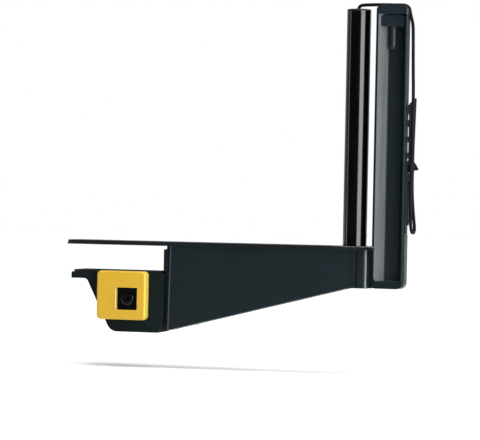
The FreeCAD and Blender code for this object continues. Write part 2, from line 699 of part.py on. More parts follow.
def build_cap():
    """Post cap with the cord's saddle groove and the moulded tee that plugs into the channel."""
    left, right, top = size("post_left"), size("post_right"), size("cap_top")
    soft = post_blank("cap", "cap_low", "cap_top", [(left, top, 3.4), (right, top, 4.0)])
    groove = box("cap_groove", ("post_left - 1", "-cord_radius - 0.3", "cap_low - 1"),
                 ("post_right + 1", "cord_radius + 0.3", "cap_top + 1"))
    keep = join("cap_keep", [
        box("cap_keep_floor", ("post_left - 2", -3, "cap_low - 2"),
            ("saddle_x", 3, "saddle_z + saddle_radius")),
        disc("cap_keep_round", "saddle_radius", ("saddle_x", -3, "saddle_z"), 6, ALONG_Y),
        box("cap_keep_side", ("saddle_x", -3, "cap_low - 2"), ("saddle_x + saddle_radius", 3, "saddle_z")),
    ])
    grooved = cut("cap_grooved", soft, [cut("cap_groove_tool", groove, [keep])])

    bar = slab("tee_bar", "XY_Plane", channel_corners(1.0, 0.9, 0.6), "cap_low - 7.5", "cap_low + 0.5")
    gap = box("tee_gap", ("channel_left - 2", "post_front - 1", "cap_low - 0.9"),
              ("channel_right + 2", "channel_floor - 2", "cap_low + 1"))
    bar = cut("tee_slotted", bar, [gap])
    shoulder = size("cap_low") - 0.9
    bar = rounded("tee_soft", bar, 1.4, [(135.3, -5, shoulder), (149.4, -5, shoulder)])
    stem_low = "cap_low - 19.6"
    stem = join("tee_stem", [
        disc("stem_round", 2.6, (141.8, -1.9, stem_low), 16),
        ball("stem_end", 2.6, (141.8, -1.9, stem_low)),
    ])
    back = box("stem_trim", (130, "channel_floor - 0.3", 100), (160, 20, "cap_low"))
    stem = cut("stem_cut", stem, [back])
    whole = join("cap_whole", [grooved, bar, stem])
    pilot = disc("cap_pilot", 1.3, ("lift_x - 1", -4, 141.5), 4, ALONG_Y)
    node(cut("cap_cut", whole, [pilot]), "post_cap")
    machine_screw("cap_screw", 2.6, 1.5, 1.25, ("lift_x - 1", "post_back + 1.5", 141.5), 11,
                  FreeCAD.Rotation(FreeCAD.Vector(1, 0, 0), 90))


def build_height_screw():
    """Screw under the post that raises it, with the clip that holds it in the lug."""
    low = "foot_low + 0.2"
    machine_screw("height_screw", 3.1, 2.2, "lift_radius", ("lift_x", "lift_y", low), 30, UPRIGHT)
    ring = disc("clip_blank", 3.1, ("lift_x", "lift_y", "lug_top + 0.15"), 0.8)
    way = disc("clip_way", f"lift_radius + {SLIP}", ("lift_x", "lift_y", -30), 30)
    node(cut("clip_cut", ring, [way]), "height_clip")


# ---------------------------------------------------------------- cleat and cord


def build_cleat():
    """Ladder cleat on the post's outer side, with its two countersunk screws."""
    face = "post_right"
    rail = slab("cleat_rail_bar", "XZ_Plane", (
        ("cleat_rail", "cleat_low"),
        ("cleat_outer", "cleat_low"),
        ("cleat_outer", 91.6),
        ("post_right + 0.1", CLEAT_BARS[-1][1]),
        ("post_right + 0.1", CLEAT_BARS[-1][0]),
        ("cleat_rail", CLEAT_BARS[-1][0]),
    ), -2.4, 2.4)
    stem = box("cleat_rail_stem", (f"{face} + 0.3", -2.4, "cleat_foot"),
               ("cleat_outer - 0.5", 1.6, "cleat_stem_top"))
    parts = [rail, stem]
    for number, (low, high) in enumerate(CLEAT_BARS, start=1):
        parts.append(box(f"cleat_bar_{number}", (face, -6.0, low), (f"{face} + cleat_thick", 0.9, high)))
        foot = max(low, size("cleat_low"))
        parts.append(box(f"cleat_rung_{number}", (f"{face} + 0.3", -2.0, foot),
                         ("cleat_rail + 0.4", 0.8, high)))
    sinks, screws = [], []
    for number, height in enumerate(CLEAT_SCREWS, start=1):
        sinks.append(disc(f"cleat_hole_{number}", 1.0, (f"{face} - 1", "cleat_y", height), 4, ALONG_X))
        at = (f"{face} + 0.4", "cleat_y", height)
        sinks.append(disc(f"cleat_sink_{number}", 1.45, at, 4, ALONG_X))
        head = disc(f"cleat_screw_head_{number}", 1.35, at, 0.45, ALONG_X)
        shank = disc(f"cleat_screw_shank_{number}", 0.85, (f"{face} - 3.5", "cleat_y", height), 4.1, ALONG_X)
        slit = box(f"cleat_screw_slit_{number}", (f"{face} + 0.6", -3, height - 0.25),
                   (f"{face} + 3", 3, height + 0.25))
        whole = join(f"cleat_screw_whole_{number}", [head, shank])
        screws.append(cut(f"cleat_screw_cut_{number}", whole, [slit]))
    node(cut("cleat_cut", join("cleat_whole", parts), sinks), "cord_cleat")
    for number, screw in enumerate(screws, start=1):
        node(screw, f"cleat_screw_{number}")


def cord_line(route):
    """Straight runs joined by tangent arcs, and the radius of each arc."""
    spots = [FreeCAD.Vector(*spot) for spot in route]
    edges, radii = [], []
    last = spots[0]
    for before, corner, after in zip(spots, spots[1:], spots[2:]):
        back, ahead = before - corner, after - corner
        half_turn = (math.pi - back.getAngle(ahead)) / 2
        reach = 0.45 * min(back.Length, ahead.Length)
        radii.append(reach / math.tan(half_turn))
        back.normalize()
        ahead.normalize()
        start, end = corner + back * reach, corner + ahead * reach
        middle = back + ahead
        middle.normalize()
        radius = radii[-1]
        inner = corner + middle * (radius / math.cos(half_turn) - radius)
        edges.append(Part.LineSegment(last, start).toShape())
        edges.append(Part.Arc(start, inner, end).toShape())
        last = end
    edges.append(Part.LineSegment(last, spots[-1]).toShape())
    return Part.Wire(edges), radii


def round_bar(wire, radius):
    """A round section swept along a wire."""
    edge = wire.Edges[0]
    ring = Part.makeCircle(radius, edge.Vertexes[0].Point, edge.tangentAt(edge.FirstParameter))
    return wire.makePipeShell([Part.Wire(ring)], True, True)


def build_cord():
    """Tension cord, the knot that ends it inside the rod, and the hitch with its cut tail."""
    wire, radii = cord_line(CORD_ROUTE)
    cord = doc.addObject("Part::Feature", "cord_sweep")
    cord.Shape = round_bar(wire, size("cord_radius"))
    node(cord, "tension_cord")
    section = math.pi * size("cord_radius") ** 2
    ratio = cord.Shape.Volume / section / wire.Length
    print("cord length", round(wire.Length, 2), "volume ratio", round(ratio, 4))
    print("arc radii", [round(radius, 1) for radius in radii])
    start = CORD_ROUTE[0]
    node(ball("cord_knot_ball", 2.4, (start[0], start[1], start[2] - 2.4)), "cord_knot")
    hitch = box("hitch_blank", (152.9, -3.2, 48.6), (156.4, 3.0, 55.4))
    corners = [(x, 0, z) for x in (152.9, 156.4) for z in (48.6, 55.4)]
    soft = rounded("hitch_soft", hitch, 1.2, corners)
    way = doc.addObject("Part::Feature", "hitch_way")
    way.Shape = round_bar(wire, size("cord_radius") + 0.03)
    tail = disc("tail_bar", 1.1, (155.1, 0, 54.5), 5.3, FreeCAD.Rotation(FreeCAD.Vector(0, 1, 0), 144))
    rail_room = box("hitch_rail_room", (150, -4, "cleat_low - 0.3"), ("cleat_outer + 0.2", 4, 60))
    node(cut("hitch_cut", join("hitch_whole", [soft, tail]), [way, rail_room]), "cord_hitch")


build_blade()
build_arm()
build_jaw()
build_clamp_screw()
build_rod()
build_foot()
build_post()
build_cap()
build_height_screw()
build_cleat()
build_cord()
doc.recompute()

for thing in doc.Objects:
    if "Invalid" in thing.State or "Error" in thing.State:
        raise RuntimeError(f"{thing.Label}: {thing.State}")
for thing in nodes:
    if thing.Shape.isNull() or not thing.Shape.isValid():
        raise RuntimeError(f"{thing.Label}: its shape is not valid")
    if len(thing.Shape.Solids) != 1:
        raise RuntimeError(f"{thing.Label}: {len(thing.Shape.Solids)} solids")

os.makedirs("parts", exist_ok=True)
for thing in nodes:
    thing.Shape.exportStep(f"parts/{thing.Label}.step")
print(len(nodes), "nodes written")
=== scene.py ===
import json
import math

import bpy
from mathutils import Matrix, Vector


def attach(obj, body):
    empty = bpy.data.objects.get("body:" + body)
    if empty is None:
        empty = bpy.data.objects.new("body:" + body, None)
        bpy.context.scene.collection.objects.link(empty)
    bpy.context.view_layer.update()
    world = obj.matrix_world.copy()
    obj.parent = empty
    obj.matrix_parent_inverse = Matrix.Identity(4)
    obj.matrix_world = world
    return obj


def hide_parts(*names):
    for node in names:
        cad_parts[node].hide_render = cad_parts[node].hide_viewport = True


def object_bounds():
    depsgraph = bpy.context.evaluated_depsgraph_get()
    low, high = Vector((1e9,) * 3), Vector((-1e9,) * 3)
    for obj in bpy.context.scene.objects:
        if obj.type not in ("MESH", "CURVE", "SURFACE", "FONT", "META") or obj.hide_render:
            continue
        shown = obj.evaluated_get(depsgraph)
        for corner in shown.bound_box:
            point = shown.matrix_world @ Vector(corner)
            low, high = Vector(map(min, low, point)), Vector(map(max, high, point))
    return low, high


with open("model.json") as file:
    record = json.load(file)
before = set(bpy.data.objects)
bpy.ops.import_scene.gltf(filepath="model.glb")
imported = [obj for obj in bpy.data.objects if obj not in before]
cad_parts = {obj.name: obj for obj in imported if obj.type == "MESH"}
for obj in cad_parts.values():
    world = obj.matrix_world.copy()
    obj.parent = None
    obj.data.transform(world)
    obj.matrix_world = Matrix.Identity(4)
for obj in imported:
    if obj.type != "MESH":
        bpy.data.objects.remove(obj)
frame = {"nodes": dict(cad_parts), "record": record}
cad_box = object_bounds()
nodes = frame["nodes"]

MM = 0.001

# ---------------------------------------------------------------- camera, light and floor

EYE = Vector((0.4469, -1.4442, 0.0271))
YAW, PITCH, ROLL = math.radians(15.5), math.radians(0.38), math.radians(1.15)
LENS, SENSOR_WIDTH, NEAREST = 180.0, 36.0, 0.05

LIT_CENTRE = Vector((0.08, 0.0, 0.05))  # the soft boxes face this point, and their places count from it
KEY_TURN = math.radians(52.0)  # from the front towards the post's side
KEY_RISE, KEY_AWAY = 0.12, 1.3
KEY_ROLL = math.radians(-14.0)
KEY_COLOUR = (0.95, 0.96, 1.0)
SIDE_PLACE = Vector((1.3, 0.10, 0.35))
LEFT_PLACE = Vector((-1.3, -0.35, 0.1))
SUN_POWER, SUN_WIDTH = 3.3, math.radians(40.0)
SUN_TILT = (math.radians(8.0), math.radians(4.0), 0.0)
# How far a direction points to the back (From), and how strong the surround is there (To).
SURROUND_BY_DEPTH = {"From Min": -0.25, "From Max": 0.35, "To Min": 0.05, "To Max": 0.5}
SURROUND_COLOUR = (0.95, 0.98, 1.0, 1.0)

FLOOR_DROP = 0.022  # room under the lowered jaw
FLOOR_REACH, FLOOR_FRONT = 6.0, -0.55


def build_camera():
    """Long lens nearly level with the table top, turned a little towards the clamp's mouth."""
    ahead = Vector((-math.sin(YAW) * math.cos(PITCH), math.cos(YAW) * math.cos(PITCH), -math.sin(PITCH)))
    side = Vector((math.cos(YAW), math.sin(YAW), 0.0))
    above = side.cross(ahead)
    right = side * math.cos(ROLL) + above * math.sin(ROLL)
    up = right.cross(ahead)
    data = bpy.data.cameras.new("camera")
    data.lens = LENS
    data.sensor_width = SENSOR_WIDTH
    data.clip_start = NEAREST
    camera = bpy.data.objects.new("camera", data)
    camera.matrix_world = Matrix.Translation(EYE) @ Matrix((right, up, -ahead)).transposed().to_4x4()
    bpy.context.scene.collection.objects.link(camera)
    bpy.context.scene.camera = camera


def soft_light(name, place, size, power, colour=(1.0, 1.0, 1.0), roll=0.0):
    """A rectangular soft box that faces the lit centre, rolled about its own axis."""
    spot = LIT_CENTRE + place
    data = bpy.data.lights.new(name, "AREA")
    data.shape = "RECTANGLE"
    data.size, data.size_y = size
    data.energy = power
    data.color = colour
    light = bpy.data.objects.new(name, data)
    light.location = spot
    facing = (LIT_CENTRE - spot).to_track_quat("-Z", "Y").to_matrix()
    light.rotation_euler = (facing @ Matrix.Rotation(roll, 3, "Z")).to_euler()
    bpy.context.scene.collection.objects.link(light)


def sun_light():
    """A broad light from above."""
    data = bpy.data.lights.new("above", "SUN")
    data.energy = SUN_POWER
    data.angle = SUN_WIDTH
    sun = bpy.data.objects.new("above", data)
    sun.rotation_euler = SUN_TILT
    bpy.context.scene.collection.objects.link(sun)


def build_world():
    """White to the camera; as a surround, bright behind the object and dim in front of it."""
    world = bpy.data.worlds.new("studio")
    world.use_nodes = True
    tree = world.node_tree
    tree.nodes.clear()
    path = tree.nodes.new("ShaderNodeLightPath")
    seen = tree.nodes.new("ShaderNodeBackground")
    seen.inputs["Color"].default_value = (1.0, 1.0, 1.0, 1.0)
    direction = tree.nodes.new("ShaderNodeTexCoord")
    split = tree.nodes.new("ShaderNodeSeparateXYZ")
    tree.links.new(direction.outputs["Generated"], split.inputs[0])
    back = tree.nodes.new("ShaderNodeMapRange")
    tree.links.new(split.outputs["Y"], back.inputs["Value"])
    for key, value in SURROUND_BY_DEPTH.items():
        back.inputs[key].default_value = value
    light = tree.nodes.new("ShaderNodeBackground")
    light.inputs["Color"].default_value = SURROUND_COLOUR
    tree.links.new(back.outputs["Result"], light.inputs["Strength"])
    mix = tree.nodes.new("ShaderNodeMixShader")
    out = tree.nodes.new("ShaderNodeOutputWorld")
    tree.links.new(path.outputs["Is Camera Ray"], mix.inputs["Fac"])
    tree.links.new(light.outputs[0], mix.inputs[1])
    tree.links.new(seen.outputs[0], mix.inputs[2])
    tree.links.new(mix.outputs[0], out.inputs["Surface"])
    bpy.context.scene.world = world


def build_light():
    """Tall key between the camera and the post's side, a box beside the post, a strip on the left, a sun."""
    towards = Vector((math.sin(KEY_TURN), -math.cos(KEY_TURN), KEY_RISE))
    soft_light("key", towards * KEY_AWAY, size=(0.85, 1.5), power=32.0, colour=KEY_COLOUR, roll=KEY_ROLL)
    soft_light("side", SIDE_PLACE, size=(0.8, 0.9), power=19.0)
    soft_light("left", LEFT_PLACE, size=(0.15, 1.0), power=1.5)
    sun_light()
    bpy.context.scene.view_settings.view_transform = "Standard"
    build_world()


def build_floor():
    """Plain pale floor below the object."""
    low = cad_box[0][2] - FLOOR_DROP
    near_edge = [(-FLOOR_REACH, FLOOR_FRONT, low), (FLOOR_REACH, FLOOR_FRONT, low)]
    far_edge = [(FLOOR_REACH, FLOOR_REACH, low), (-FLOOR_REACH, FLOOR_REACH, low)]
    mesh = bpy.data.meshes.new("floor")
    mesh.from_pydata(near_edge + far_edge, [], [(0, 1, 2, 3)])
    floor = bpy.data.objects.new("floor", mesh)
    bpy.context.scene.collection.objects.link(floor)
    matt = surface("floor", (0.86, 0.86, 0.86), rough=0.6, grain=2.0, depth=0.02, mottle=0.02)
    floor.data.materials.append(matt)


# ---------------------------------------------------------------- material nodes

NOISE_LOW, NOISE_HIGH = 0.3, 0.7  # most of a noise texture's values lie between these
CORNER_SOFTNESS = 0.25 * MM  # how far the shading rounds off a sharp edge


class Nodes:
    """Short calls for building one material's node tree."""

    def __init__(self, name):
        self.material = bpy.data.materials.new(name)
        self.material.use_nodes = True
        self.tree = self.material.node_tree
        self.tree.nodes.clear()
        self.shader = self.add("ShaderNodeBsdfPrincipled")
        out = self.add("ShaderNodeOutputMaterial")
        self.link(self.shader.outputs["BSDF"], out.inputs["Surface"])
        self.place = self.add("ShaderNodeTexCoord").outputs["Object"]

    def add(self, kind, **settings):
        """A new node with its settings."""
        node = self.tree.nodes.new(kind)
        for key, value in settings.items():
            setattr(node, key, value)
        return node

    def link(self, source, target):
        """Join an output socket to an input socket."""
        self.tree.links.new(source, target)

    def feed(self, socket, value):
        """Set a socket to a number or link it to another socket."""
        if isinstance(value, bpy.types.NodeSocket):
            self.link(value, socket)
        else:
            socket.default_value = value

    def finish(self, tone, rough):
        """Link the colour and the roughness to the shader."""
        self.link(tone, self.shader.inputs["Base Color"])
        self.link(rough, self.shader.inputs["Roughness"])

    def gloss(self, values):
        """Set those of the shader's values that are the same all over the surface."""
        for key, value in values.items():
            self.shader.inputs[key].default_value = value

    def math(self, operation, first, second=0.0, clamp=False):
        """One arithmetic node."""
        node = self.add("ShaderNodeMath", operation=operation, use_clamp=clamp)
        self.feed(node.inputs[0], first)
        self.feed(node.inputs[1], second)
        return node.outputs[0]

    def times(self, first, second):
        """The product of two values."""
        return self.math("MULTIPLY", first, second)

    def stretched(self, scale):
        """Object coordinates scaled on each axis."""
        node = self.add("ShaderNodeMapping")
        self.link(self.place, node.inputs["Vector"])
        node.inputs["Scale"].default_value = scale
        return node.outputs["Vector"]

    def noise(self, size_mm, detail=3.0, rough=0.55, where=None):
        """Cloudy noise with features of about the given size."""
        node = self.add("ShaderNodeTexNoise")
        self.link(where or self.place, node.inputs["Vector"])
        node.inputs["Scale"].default_value = 1000.0 / size_mm
        node.inputs["Detail"].default_value = detail
        node.inputs["Roughness"].default_value = rough
        return node.outputs["Fac"]

    def cells(self, size_mm):
        """Distance to the middle of the nearest of many small cells."""
        node = self.add("ShaderNodeTexVoronoi")
        self.link(self.place, node.inputs["Vector"])
        node.inputs["Scale"].default_value = 1000.0 / size_mm
        return node.outputs["Distance"]

    def ramp(self, value, low, high, start=0.0, end=1.0):
        """Map a value from low..high to start..end, clamped."""
        node = self.add("ShaderNodeMapRange", clamp=True)
        self.feed(node.inputs["Value"], value)
        for key, number in zip(("From Min", "From Max", "To Min", "To Max"), (low, high, start, end)):
            node.inputs[key].default_value = number
        return node.outputs["Result"]

    def level(self, noise, start=0.0, end=1.0):
        """Spread a noise over start..end."""
        return self.ramp(noise, NOISE_LOW, NOISE_HIGH, start, end)

    def blend(self, factor, first, second):
        """Mix two colours, each a tuple or a socket."""
        node = self.add("ShaderNodeMix", data_type="RGBA")
        self.feed(node.inputs["Factor"], factor)
        for socket, value in ((node.inputs[6], first), (node.inputs[7], second)):
            if isinstance(value, bpy.types.NodeSocket):
                self.link(value, socket)
            else:
                socket.default_value = (*value, 1.0)
        return node.outputs[2]

    def rounded_normal(self, radius):
        """The surface direction as if every edge were rounded off."""
        node = self.add("ShaderNodeBevel", samples=4)
        node.inputs["Radius"].default_value = radius
        return node.outputs[0]

    def edges(self, radius_mm, strength):
        """Up to the strength on sharp outer and inner edges, zero on flat faces."""
        rounded = self.rounded_normal(radius_mm * MM)
        true = self.add("ShaderNodeNewGeometry").outputs["Normal"]
        dot = self.add("ShaderNodeVectorMath", operation="DOT_PRODUCT")
        self.link(rounded, dot.inputs[0])
        self.link(true, dot.inputs[1])
        return self.ramp(dot.outputs["Value"], 0.995, 0.80, 0.0, strength)

    def axis(self, letter, normal=False):
        """One coordinate of the place, or of the true surface direction."""
        split = self.add("ShaderNodeSeparateXYZ")
        source = self.add("ShaderNodeNewGeometry").outputs["Normal"] if normal else self.place
        self.link(source, split.inputs[0])
        return split.outputs[letter]

    def in_mm(self, letter):
        """One coordinate of the place, in millimetres."""
        return self.times(self.axis(letter), 1000.0)

    def between(self, value, low, high, soft):
        """One between two values, fading over a short distance outside them."""
        return self.times(self.ramp(value, low - soft, low), self.ramp(value, high, high + soft, 1.0, 0.0))

    def within(self, letter, low_mm, high_mm, soft_mm):
        """One between two positions along an axis."""
        return self.between(self.in_mm(letter), low_mm, high_mm, soft_mm)

    def turn_about(self, x, y):
        """Angle of the place about an upright axis, from -pi to pi."""
        along = self.math("SUBTRACT", self.axis("Y"), y)
        across = self.math("SUBTRACT", self.axis("X"), x)
        return self.math("ARCTAN2", along, across)

    def distance_from(self, x, y):
        """Distance of the place from an upright axis."""
        across = self.math("SUBTRACT", self.axis("X"), x)
        along = self.math("SUBTRACT", self.axis("Y"), y)
        squares = self.math("ADD", self.math("POWER", across, 2.0), self.math("POWER", along, 2.0))
        return self.math("SQRT", squares)

    def bump(self, height, distance_mm, strength=1.0):
        """Small relief from a height, on top of softened corners."""
        node = self.add("ShaderNodeBump")
        self.link(self.rounded_normal(CORNER_SOFTNESS), node.inputs["Normal"])
        node.inputs["Strength"].default_value = strength
        node.inputs["Distance"].default_value = distance_mm * MM
        self.link(height, node.inputs["Height"])
        self.link(node.outputs["Normal"], self.shader.inputs["Normal"])


def lighter(colour, factor):
    """The colour made lighter, or darker by a factor under one."""
    return tuple(min(1.0, channel * factor) for channel in colour)


# ---------------------------------------------------------------- kinds of finish


def surface(name, colour, rough=0.5, grain=0.3, depth=0.03, mottle=0.12, worn=None, wear=0.5, metal=0.0,
            coat=0.0, specular=0.5, painted_light=None):
    """Grained solid colour with a mottled tone, uneven roughness and, if asked, lighter worn edges and
    painted light.

    The painted-light argument is a function from the node maker to a mask of 0..1 and the colour of a region
    painted lighter as painted light or a painted highlight."""
    make = Nodes(name)
    broad = make.noise(18.0, 4.0)
    fine = make.noise(grain, 2.0, 0.7)
    tone = make.blend(make.level(broad), lighter(colour, 1 - mottle), lighter(colour, 1 + mottle))
    tone = make.blend(make.ramp(fine, 0.35, 0.75, 0.0, 0.35), tone, lighter(colour, 1 + 2.2 * mottle))
    uneven = make.math("ADD", make.level(broad, -0.08, 0.08), make.level(fine, -0.04, 0.04))
    value = make.math("ADD", uneven, rough, clamp=True)
    if worn:
        rubbed = make.times(make.edges(0.5, wear), make.ramp(make.noise(3.0), 0.35, 0.6))
        tone = make.blend(rubbed, tone, worn)
        value = make.math("SUBTRACT", value, make.times(rubbed, 0.12), clamp=True)
    # painted light: a region made lighter to stand in for a highlight or a lit side
    if painted_light:
        mask, painted_light_colour = painted_light(make)
        tone = make.blend(mask, tone, painted_light_colour)
    make.finish(tone, value)
    make.gloss({"Metallic": metal, "Coat Weight": coat, "Coat Roughness": 0.08,
                "Specular IOR Level": specular})
    make.bump(fine, depth)
    return make.material


def grained_plastic(name, colour, rough=0.5, worn=(0.10, 0.11, 0.11), depth=0.035, specular=0.4, painted_light=None):
    """Spark-eroded moulded plastic: tiny pits over a slow unevenness, dust in the pits, rubbed edges and, if
    asked, painted light.

    The painted-light argument is a function from the node maker to a mask of 0..1 and the colour of a region
    painted lighter as painted light or a painted highlight."""
    make = Nodes(name)
    broad = make.noise(25.0, 5.0)
    pits = make.cells(0.42)
    fine = make.noise(0.25, 3.0, 0.7)
    relief = make.math("ADD", make.ramp(pits, 0.0, 0.6), make.times(fine, 0.7))
    tone = make.blend(make.level(broad), lighter(colour, 0.86), lighter(colour, 1.14))
    tone = make.blend(make.ramp(relief, 0.55, 1.2, 0.0, 0.6), tone, lighter(colour, 1.7))
    # painted light: a region made lighter to stand in for a highlight or a lit side
    if painted_light:
        mask, painted_light_colour = painted_light(make)
        tone = make.blend(mask, tone, painted_light_colour)
    rubbed = make.times(make.edges(0.45, 0.35), make.ramp(make.noise(2.5), 0.35, 0.6))
    tone = make.blend(rubbed, tone, worn)
    base = make.level(broad, rough - 0.06, rough + 0.06)
    value = make.math("ADD", base, make.level(fine, -0.05, 0.05), clamp=True)
    value = make.math("SUBTRACT", value, make.times(rubbed, 0.15), clamp=True)
    make.finish(tone, value)
    make.gloss({"Specular IOR Level": specular})
    make.bump(relief, depth)
    return make.material


def gloss_enamel(name, colour):
    """Gloss enamel over steel tube, with fine rub marks along it."""
    make = Nodes(name)
    streaks = make.noise(1.2, 4.0, 0.6, make.stretched((1.0, 1.0, 0.04)))
    peel = make.noise(2.2, 2.0)
    tone = make.blend(make.ramp(streaks, 0.4, 0.75), colour, lighter(colour, 2.5))
    make.finish(tone, make.ramp(streaks, 0.35, 0.8, 0.10, 0.24))
    make.gloss({"Coat Weight": 0.3, "Coat Roughness": 0.06, "Specular IOR Level": 0.35})
    make.bump(peel, 0.02, 0.5)
    return make.material


def soft_rubber(name, colour):
    """Matt rubber with a pebbled skin and pale dust in the hollows."""
    make = Nodes(name)
    pebble = make.cells(0.7)
    dust = make.noise(6.0, 5.0, 0.65)
    tone = make.blend(make.ramp(dust, 0.45, 0.75, 0.0, 0.5), colour, lighter(colour, 2.6))
    make.finish(tone, make.level(dust, 0.72, 0.9))
    make.gloss({"Specular IOR Level": 0.25})
    make.bump(pebble, 0.08)
    return make.material


def thread_ridge(make, x, y, pitch, core):
    """Height, 0..1, of a right-hand thread about an upright axis. Its pitch and plain core are in mm."""
    turns = make.math("DIVIDE", make.turn_about(x, y), 2 * math.pi)
    rise = make.math("SUBTRACT", make.times(make.axis("Z"), 1000.0 / pitch), turns)
    ridge = make.math("PINGPONG", make.math("FRACT", rise), 0.5)
    beyond = make.math("SUBTRACT", make.distance_from(x, y), core * MM)
    return make.times(make.times(ridge, 2.0), make.ramp(beyond, 0.0, 0.2 * MM))


def turned_metal(name, colour, rough, thread=None):
    """Machined metal with fine tool lines, uneven sheen and darker stain.

    thread holds the upright axis's X and Y, the pitch in mm and the core radius in mm that stays plain."""
    make = Nodes(name)
    lines = make.noise(2.0, 4.0, 0.7, make.stretched((1.0, 1.0, 14.0)))
    stain = make.noise(5.0, 4.0)
    tone = make.blend(make.ramp(stain, 0.4, 0.75, 0.0, 0.6), colour, lighter(colour, 0.55))
    relief, depth = lines, 0.02
    if thread:
        ridge = thread_ridge(make, *thread)
        # painted shade: the thread's grooves are darkened as if in shadow
        tone = make.blend(make.ramp(ridge, 0.0, 0.45, 0.8, 0.0), tone, lighter(colour, 0.12))
        relief = make.math("ADD", ridge, make.times(lines, 0.05))
        depth = thread[2] * 0.6
    make.finish(tone, make.level(lines, rough - 0.08, rough + 0.12))
    make.gloss({"Metallic": 1.0})
    make.bump(relief, depth)
    return make.material


def braided_yarn(name, colour):
    """Braided polyester: dull sheen, uneven dye, loose fluff."""
    make = Nodes(name)
    fuzz = make.noise(0.18, 3.0, 0.7)
    dye = make.noise(4.0)
    tone = make.blend(make.level(dye), lighter(colour, 0.8), lighter(colour, 1.35))
    tone = make.blend(make.ramp(fuzz, 0.5, 0.8, 0.0, 0.5), tone, lighter(colour, 2.6))
    make.finish(tone, make.level(fuzz, 0.65, 0.9))
    make.gloss({"Specular IOR Level": 0.1, "Sheen Weight": 0.02, "Sheen Roughness": 0.5})
    make.bump(fuzz, 0.05)
    return make.material


# ---------------------------------------------------------------- painted highlights and painted light

# Where a tone fades in or out along X, from one end of the fade to the other, in mm.
CHANNEL_START, FLANK_END = (133.5, 133.9), (138.6, 139.9)
# Places with a low end, a high end and a fade outside them, in mm.
CHANNEL_HEIGHT = (-18.0, 150.0, 1.0)
CHANNEL_FLOOR_DEPTH = (-2.2, -1.0, 0.4)
CHANNEL_FLOOR_WIDTH = (138.5, 150.0, 0.5)
CORNER_WIDTH = (127.5, 130.4, 0.2)
ARM_EDGE_WIDTH = (4.57, 5.47, 0.2)
ARM_EDGE_DEPTH = (-12.2, -11.1, 0.2)
ARM_EDGE_LEAN = 0.0169  # mm of X for each mm of Z
WINDOW_RIM_WIDTH = (-28.8, -27.6, 0.1)
WINDOW_RIM_DEPTH = (-18.7, -17.3, 0.3)
BLADE_EDGE_HEIGHT = (2.0, 3.0, 0.2)
BLADE_EDGE_WIDTH = (116.0, 140.0, 8.0)


def channel_painted_light(make):
    """Painted reflection of the side light on the post channel's slanted flank, fading out where it meets
    the floor, and painted light on the floor, which lies in shade.
    """
    across = make.in_mm("X")
    drift = make.level(make.noise(9.0), -0.15, 0.15)
    inner = make.ramp(make.math("ADD", across, drift), *FLANK_END, 1.0, 0.0)
    facing = make.ramp(make.axis("X", normal=True), 0.35, 0.6)
    inside = make.times(make.ramp(across, *CHANNEL_START), make.within("Z", *CHANNEL_HEIGHT))
    flank = make.times(make.times(inner, facing), inside)
    floor = make.times(make.within("Y", *CHANNEL_FLOOR_DEPTH), make.within("X", *CHANNEL_FLOOR_WIDTH))
    streaks = make.level(make.noise(1.5, 4.0, 0.6, make.stretched((1.0, 1.0, 0.05))))
    # painted reflection on the flank, and painted light that lifts the floor out of its shade
    painted_flank_reflection = make.blend(streaks, (0.070, 0.077, 0.080), (0.100, 0.107, 0.110))
    painted_floor_light = make.blend(streaks, (0.0085, 0.0130, 0.0150), (0.0105, 0.0160, 0.0180))
    return make.math("MAXIMUM", flank, floor), make.blend(flank, painted_floor_light, painted_flank_reflection)


def painted_corner_highlight(make):
    """Painted highlight on the round front corner of the end block."""
    outward = make.ramp(make.axis("X", normal=True), 0.55, 0.75)
    forward = make.ramp(make.axis("Y", normal=True), -0.25, -0.45)
    # painted highlight along the corner's rounding
    mask = make.times(make.times(outward, forward), make.within("X", *CORNER_WIDTH))
    patches = make.ramp(make.noise(1.2), 0.35, 0.65)
    return mask, make.blend(patches, (0.10, 0.11, 0.11), (0.15, 0.16, 0.16))


def painted_edge_highlight(make):
    """Painted highlight: a light line along the arm's front left edge, which leans a little."""
    across = make.math("SUBTRACT", make.in_mm("X"), make.times(make.in_mm("Z"), ARM_EDGE_LEAN))
    # painted highlight line on the edge
    mask = make.times(make.between(across, *ARM_EDGE_WIDTH), make.within("Y", *ARM_EDGE_DEPTH))
    return mask, make.blend(make.noise(2.0), (0.035, 0.047, 0.055), (0.065, 0.084, 0.094))


def painted_lit_sides(make):
    """Painted light: sides of the block that face outward, towards the lamp beside the post, are paler, most
    of all the rim of its window.
    """
    facing = make.ramp(make.axis("X", normal=True), 0.3, 0.9)
    rim = make.times(make.within("X", *WINDOW_RIM_WIDTH), make.within("Y", *WINDOW_RIM_DEPTH))
    side = make.blend(make.noise(1.0), (0.50, 0.37, 0.04), (0.54, 0.42, 0.06))
    # painted light on the window's rim, brighter than on the sides
    painted_light = make.blend(make.noise(1.0), (0.80, 0.64, 0.28), (0.92, 0.78, 0.46))
    return facing, make.blend(rim, side, painted_light)


def painted_blade_highlight(make):
    """Painted highlight on the top front edge of the blade beside the rod."""
    edge = make.times(make.ramp(make.edges(0.6, 1.0), 0.05, 0.3), make.within("Z", *BLADE_EDGE_HEIGHT))
    # painted highlight along the blade's top front edge
    mask = make.times(edge, make.within("X", *BLADE_EDGE_WIDTH))
    return mask, make.blend(make.noise(1.5), (0.20, 0.21, 0.21), (0.34, 0.35, 0.34))


# ---------------------------------------------------------------- materials

DULL_WEAR = (0.03, 0.034, 0.036)
ZINC = (0.60, 0.61, 0.62)
ZINC_ROUGH = 0.3
CLAMP_THREAD = (0.017, 0.003, 1.25, 3.3)  # the axis's X and Y in metres, the pitch and the core in mm
HEIGHT_THREAD = (0.1446, 0.0025, 0.7, 0.0)


